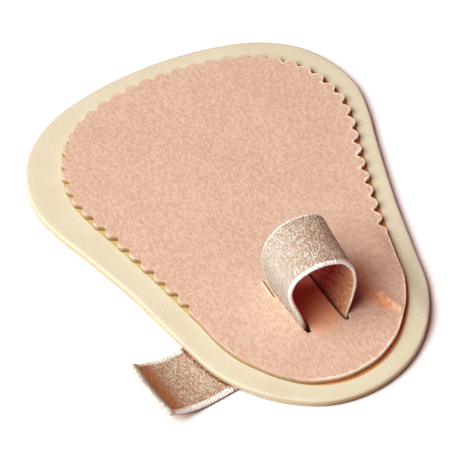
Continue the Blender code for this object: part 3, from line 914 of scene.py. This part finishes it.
def cover_material():
    """Brushed pink knit with pale and deep flecks and faint lengthwise streaks. Over them come a painted
    shadow line and painted highlight for a raised lip by the left slit, painted red shade under the loop,
    the frayed rim with a painted highlight, frayed teeth, a painted highlight on the fold, a painted
    orange penumbra beside the loop, and the cut wall in the backing's golden brown with painted shade on
    the right."""
    material, tree, shader = new_material("pink_brushed_knit")
    place = add_node(tree, "TexCoord").outputs["Object"]
    second = add_node(tree, "Mapping", {"Vector": place, "Location": (0.013, 0.007, 0.0)}).outputs[0]
    fine = fleck_field(place, size=0.00068, stretch=1.35, softness=0.14)
    pale = fleck_field(second, size=0.00060, stretch=1.5, softness=0.10)
    streak = fleck_field(place, size=0.00046, stretch=9.0, softness=0.18)
    patch = fleck_field(second, size=0.012, stretch=1.4, softness=0.30)
    mottle = fleck_field(second, size=0.0021, stretch=1.6, softness=0.16)
    blotch = fleck_field(place, size=0.0010, stretch=1.2, softness=0.10)
    knit = use_group(weave, Place=place, Across=0.00048, Along=0.00042, Stray=0.50)
    parts = add_node(tree, "SeparateXYZ", {0: place})
    along = parts.outputs["Y"]
    # A painted shadow line with a painted highlight beside it, standing for a raised lip by the left slit
    off_lip_line = maths("SUBTRACT", parts.outputs["X"], LIP_LINE_X)
    on_lip_line = times(spread(along, LIP_LINE_START_Y, LIP_LINE_START_Y - 0.0006),
                    spread(along, LIP_LINE_END_Y, LIP_LINE_END_Y + 0.0008))
    lip_shadow = spread(maths("ABSOLUTE", off_lip_line), 0.00021, 0.00009)
    off_lip_highlight = maths("ABSOLUTE", maths("ADD", off_lip_line, 0.00036))
    lip_highlight = spread(off_lip_highlight, 0.00034, 0.00010)
    to_rear = spread(along, LOOP_Y - 0.35 * STRAP_WIDTH, LOOP_Y + 0.20 * STRAP_WIDTH)
    edge = stored(tree, "edge_distance")
    right = stored(tree, "right_side")
    # The pale frayed rim of the cut edge, partly a painted highlight
    rim_highlight = use_group(edge_fray_highlight, Distance=edge, Width=0.00062, Place=place)
    broken = spread(blotch["Height"], 0.38, 0.62, 0.30, 1.0)
    colour = painted(
        blend(patch["Mask"], CLOTH_DEEP, CLOTH_PALE),
        (times(mottle["Mask"], 0.12), CLOTH_MOTTLE),
        (times(streak["Mask"], 0.34), CLOTH_STREAK),
        (times(fine["Mask"], 0.24), DEEP_FLECK),
        (times(pale["Mask"], 0.26), PALE_FLECK),
        # Painted highlight and painted shadow of the raised lip by the left slit
        (times(lip_highlight, on_lip_line, 0.6), LIP_HIGHLIGHT),
        (times(lip_shadow, on_lip_line, 0.9), LIP_SHADOW),
        # Painted red shade in the loop's hollow
        (stored(tree, "loop_shade_tint"), blend(to_rear, LOOP_SHADE_FRONT, LOOP_SHADE_REAR)),
        # Frayed rim with a painted highlight, stronger on the right side
        (times(rim_highlight["Mask"], spread(right, 0.0, 1.0, 0.0, 0.85)), FRAYED_RIM_HIGHLIGHT),
        (stored(tree, "tooth_tip"), FRAYED_TIP),
        # Painted highlight on the fold
        (times(stored(tree, "fold_highlight"), 0.55), FOLD_HIGHLIGHT),
        # Painted orange penumbra of the loop's shadow, broken into blotches
        (times(stored(tree, "orange_shade"), broken), ORANGE_SHADE),
        # The backing's golden brown on the cut wall, turning to painted shade on the right
        (stored(tree, "wall"), blend(right, COVER_WALL_LEFT, COVER_WALL_SHADE)))
    height = maths("MULTIPLY_ADD", knit["Height"], 0.28, fine["Height"])
    finish_shader(shader, height, 0.00009, {
        "Base Color": colour, "Specular IOR Level": 0.15, "Sheen Weight": 0.12,
        "Roughness": spread(fine["Height"], 0.3, 0.7, 0.88, 0.98)})
    return material


def strap_material():
    """Woven elastic: cream yarn cells with brown hollows and a tan that are stronger where the band lies
    in shade, as painted shade, a painted shade near the curled tail's tip, a warm lining turning to
    painted red shade at the loop's rear, a white ribbed selvedge with brown ticks, a sealed end with a
    bead and painted shade, painted shade on the loop's left foot, and painted shadows along the tail's low
    edge and beside the pad's edge."""
    material, tree, shader = new_material("flecked_woven_elastic")
    place = add_node(tree, "Attribute", attribute_name="weave_place").outputs["Vector"]
    parts = add_node(tree, "SeparateXYZ", {0: place})
    across, along, up = (parts.outputs[axis] for axis in "XYZ")
    # How far the weave's hollows show, real weave colour raised where the strap lies in shade: painted
    # shade
    opened_and_shaded = stored(tree, "openness_and_shade")
    cells = use_group(weave, Place=place, Across=0.00064, Along=0.00046, Stray=0.55)
    fleck = fleck_field(place, size=0.00062, stretch=0.6, softness=0.07)
    shade = fleck_field(place, size=0.0030, stretch=1.0, softness=0.25)
    gaps = maths("MULTIPLY_ADD", cells["Gap"], 0.7, times(fleck["Mask"], 0.8))
    gaps = maths("MINIMUM", gaps, 1.0)
    inner = spread(up, 0.00012, -0.00012)
    to_rear = spread(across, -0.0045, 0.0015)
    # The lining's own warm brown, turning to painted red shade towards the loop's rear
    lining = blend(times(fleck["Mask"], 0.7),
                   blend(to_rear, LINING_FRONT, LINING_SHADE_REAR),
                   blend(to_rear, LINING_HOLLOW_FRONT, LINING_HOLLOW_SHADE_REAR))
    width = spread(along, *SELVEDGE_CHANGE, *SELVEDGE_WIDTHS)
    in_from_edge = maths("SUBTRACT", STRAP_WIDTH / 2, maths("ABSOLUTE", across))
    selvedge = times(spread(maths("SUBTRACT", in_from_edge, width), 0.00008, -0.00008),
                     spread(up, -0.00038, -0.00020))
    rib_turn = maths("SINE", times(along, 2 * math.pi / RIB_PITCH))
    rib = maths("MULTIPLY_ADD", rib_turn, 0.5, 0.5)
    inner_half = spread(maths("DIVIDE", in_from_edge, width), 0.35, 0.80)
    tick = times(spread(rib, 0.45, 0.05), inner_half, 0.75, spread(shade["Height"], 0.42, 0.58))
    ribbed = painted(SELVEDGE, (times(fleck["Mask"], 0.16), SELVEDGE_SPECK), (tick, SELVEDGE_TICK))
    ragged = maths("MULTIPLY_ADD", maths("SUBTRACT", fleck["Height"], 0.5), 0.0060, along)
    # The sealed end's brown band, partly its seal and partly painted shade behind the bead
    sealed_and_shaded = times(spread(along, 0.0012, 0.0015), spread(ragged, *SEALED_AND_SHADE_FADE),
                   spread(in_from_edge, 0.0006, 0.0011, 0.0, 0.85))
    # Painted contact shadow along the tail's low front edge
    tail_edge_shadow = times(inner, spread(in_from_edge, 0.0006, 0.0003), spread(along, *TAIL_EDGE_SHADOW_FADE))
    dashes = spread(fleck["Height"], 0.38, 0.52, 0.35, 1.0)
    colour = painted(
        blend(shade["Mask"], YARN_DEEP, YARN_PALE),
        # Tan of the weave, stronger where the strap lies in shade: partly painted shade
        (spread(opened_and_shaded, 0.45, 0.95, 0.0, 0.32), YARN_SHADE_TAN),
        # Painted shade near the curled tail's tip, which faces away from the light
        (spread(along, *TAIL_SHADE_FADE, 0.0, 0.40), YARN_TAIL_SHADE),
        (times(gaps, opened_and_shaded), HOLLOW),
        (inner, lining),
        (selvedge, ribbed),
        (sealed_and_shaded, SEALED_END_AND_SHADE),
        # Painted shade on the loop's left foot
        (stored(tree, "left_foot_shade"), FOOT_SHADE_COLOUR),
        (tail_edge_shadow, TAIL_EDGE_SHADOW),
        # Painted shadow of the pad's edge on the strap, in dashes
        (times(stored(tree, "pad_edge_shadow"), dashes), PAD_EDGE_SHADOW),
        (spread(along, 0.0014, 0.0011), blend(times(fleck["Mask"], 0.22), BEAD_PALE, BEAD_DEEP)))
    height = maths("MULTIPLY_ADD", cells["Height"], 0.7, fleck["Height"])
    height = maths("MULTIPLY_ADD", times(rib, selvedge), 0.22, height)
    finish_shader(shader, height, 0.00016, {
        "Base Color": colour, "Specular IOR Level": 0.25, "Sheen Weight": 0.10,
        "Roughness": spread(cells["Gap"], 0.0, 1.0, 0.80, 0.95)})
    return material


def floor_material():
    """A plain pale finish."""
    material, _, shader = new_material("pale_floor")
    set_input(shader, "Base Color", (0.93, 0.93, 0.93, 1.0))
    set_input(shader, "Roughness", 0.9)
    return material


def nearest_distance(points, line):
    """Distance in plan from each point to the nearest point of a line, worked in blocks."""
    blocks = np.array_split(points[:, :2], max(1, len(points) // 4000))
    return np.concatenate([
        np.sqrt(((block[:, None, :] - line[None, :, :]) ** 2).sum(-1).min(1)) for block in blocks])


def outside_cover(points):
    """Distance of each point outside the cover's plain outline, less than 0 inside it, measured
    along the line from the loop's middle."""
    outline = cover_outline() - RING_MIDDLE
    bearing = np.arctan2(outline[:, 1], outline[:, 0])
    order = np.argsort(bearing)
    reach = np.linalg.norm(outline, axis=1)
    place = points[:, :2] - RING_MIDDLE
    own = np.arctan2(place[:, 1], place[:, 0])
    return np.linalg.norm(place, axis=1) - np.interp(own, bearing[order], reach[order], period=2 * math.pi)


def right_side(points):
    """0 at the pad's left edge and 1 at its right one, turning over near the middle, further to the
    left at the toe end, and weak at the wide end."""
    toe_share = np.clip((-END_Y - points[:, 1]) / END_RUN, 0.0, 1.0)
    wide_end = smooth_step((points[:, 1] - END_Y) / END_RUN)
    return smooth_step((points[:, 0] - RIGHT_X) / RIGHT_RUN + 0.80 * toe_share) * (1.0 - 0.75 * wide_end)


def on_wall(points, top, start, softness):
    """1 on a layer's cut wall, from a little below its top, which is lifted over the strap."""
    lift = PAD_LIFT * drape(points[:, 0], points[:, 1])
    return smooth_step((top + lift - start - points[:, 2]) / softness)


flecks = make_fleck_group()
weave = make_weave_group()
edge_fray_highlight = make_edge_group()

foam_pad = make_foam_pad()
foam_points = points_of(foam_pad)
foam_right = right_side(foam_points)
store(foam_pad, "wall", on_wall(foam_points, BASE_TOP, start=0.00015, softness=0.00035))
# Painted contact shadow along the foot of the foam's wall, on the right side
floor_contact_shadow = 0.9 * smooth_step((FLOOR_SHADOW_TOP - foam_points[:, 2]) / FLOOR_SHADOW_SOFTNESS)
store(foam_pad, "floor_contact_shadow", floor_contact_shadow * foam_right)
# Where the cover's painted shadow falls on the foam, wider on the right side
cover_shadow_width = COVER_SHADOW_WIDTH * (1.25 * foam_right - 0.25)
store(foam_pad, "cover_shadow", 0.5 - (outside_cover(foam_points) - cover_shadow_width) / COVER_SHADOW_SOFTNESS)
store(foam_pad, "right_side", foam_right)
foam_pad.data.materials.append(foam_material())
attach(foam_pad, "root")
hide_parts("foam_base")

pinked_cover = make_cover()
cover_points = points_of(pinked_cover)
cover_plan = cover_points.T[:2]
store(pinked_cover, "wall", on_wall(cover_points, PAD_TOP, start=0.00022, softness=0.0001))
store(pinked_cover, "edge_distance", nearest_distance(cover_points, cover_edges()[0]))
store(pinked_cover, "right_side", right_side(cover_points))
tooth_tip = 0.85 * smooth_step(outside_cover(cover_points) / TIP_FADE + 1.0)
tooth_tip *= smooth_step((cover_points[:, 1] - PINKING_END_Y) / TOOTH_PITCH)
store(pinked_cover, "tooth_tip", tooth_tip)
# Where the painted red shade under the loop goes
store(pinked_cover, "loop_shade_tint", loop_shade_tint(*cover_plan))
# Where the painted highlight on the fold goes
store(pinked_cover, "fold_highlight", crease(*cover_plan))
# Where the painted orange penumbra and fold shade go
store(pinked_cover, "orange_shade", orange_shade(*cover_plan))
pinked_cover.data.materials.append(cover_material())
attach(pinked_cover, "root")
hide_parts("fabric_cover")

woven_strap = make_strap()
strap_points = points_of(woven_strap)
from_edge = nearest_distance(strap_points, pear_outline(PAD_LENGTH, PAD_WIDTH, 2))
# Where the pad's edge casts its painted shadow on the strap
store(woven_strap, "pad_edge_shadow", 1.0 - smooth_step((from_edge - PAD_SHADOW_WIDTH) / PAD_SHADOW_SOFTNESS))
# Painted shade on the front rim of the loop's left foot, low down
foot_share = smooth_step((LOOP_BASE + FOOT_SHADE_HEIGHT - strap_points[:, 2]) / FOOT_SHADE_HEIGHT)
left_foot_shade = 0.9 * foot_share * (np.abs(strap_points[:, 0] + SLIT_SPACING / 2 - LOOP_X) < SLIT_SPACING / 4)
front_share = smooth_step((LOOP_Y - 0.43 * STRAP_WIDTH - strap_points[:, 1]) / 0.0003)
store(woven_strap, "left_foot_shade", left_foot_shade * front_share)
woven_strap.data.materials.append(strap_material())
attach(woven_strap, "root")
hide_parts("elastic_strap")


def make_floor():
    """A flat square of floor just below the pad's underside."""
    half = 1.5
    drop = 0.0001
    corners = half * np.array([[-1, -1, 0], [1, -1, 0], [1, 1, 0], [-1, 1, 0]]) - (0.0, 0.0, drop)
    floor = new_piece("floor", corners, [np.array([[0, 1, 2, 3]])])
    floor.data.materials.append(floor_material())


def make_lights():
    """A key from the left, and a soft even fill from all round."""
    towards_light = np.array([-math.cos(KEY_ELEVATION), 0.0, math.sin(KEY_ELEVATION)])
    light = bpy.data.lights.new("key", "AREA")
    light.shape = "DISK"
    light.size = KEY_SIZE
    light.energy = KEY_POWER
    light.color = KEY_COLOUR
    key = bpy.data.objects.new("key", light)
    key.location = np.array(KEY_AIM) + KEY_DISTANCE * towards_light
    key.rotation_euler = aim(-towards_light)
    bpy.context.scene.collection.objects.link(key)
    world = bpy.data.worlds.new("studio")
    world.use_nodes = True
    set_input(world.node_tree.nodes["Background"], "Color", (*FILL_COLOUR, 1.0))
    bpy.context.scene.world = world


def aim(direction):
    """Rotation that turns an object's -Z towards the direction, with its +Y kept upward."""
    return Vector(direction).to_track_quat("-Z", "Y").to_euler()


def make_camera():
    """The photograph's viewpoint, from its azimuth, elevation and distance."""
    level = math.cos(CAMERA_ELEVATION)
    look = np.array([-math.sin(CAMERA_AZIMUTH) * level, math.cos(CAMERA_AZIMUTH) * level,
                     -math.sin(CAMERA_ELEVATION)])
    lens = bpy.data.cameras.new("camera")
    lens.lens = CAMERA_LENS
    lens.clip_start = 0.01
    camera = bpy.data.objects.new("camera", lens)
    camera.location = np.array(CAMERA_AIM) - look * CAMERA_DISTANCE
    camera.rotation_euler = aim(look)
    bpy.context.scene.collection.objects.link(camera)
    bpy.context.scene.camera = camera


make_floor()
make_lights()
make_camera()
bpy.context.scene.view_settings.view_transform = "Standard"
bpy.context.scene.view_settings.look = "High Contrast"
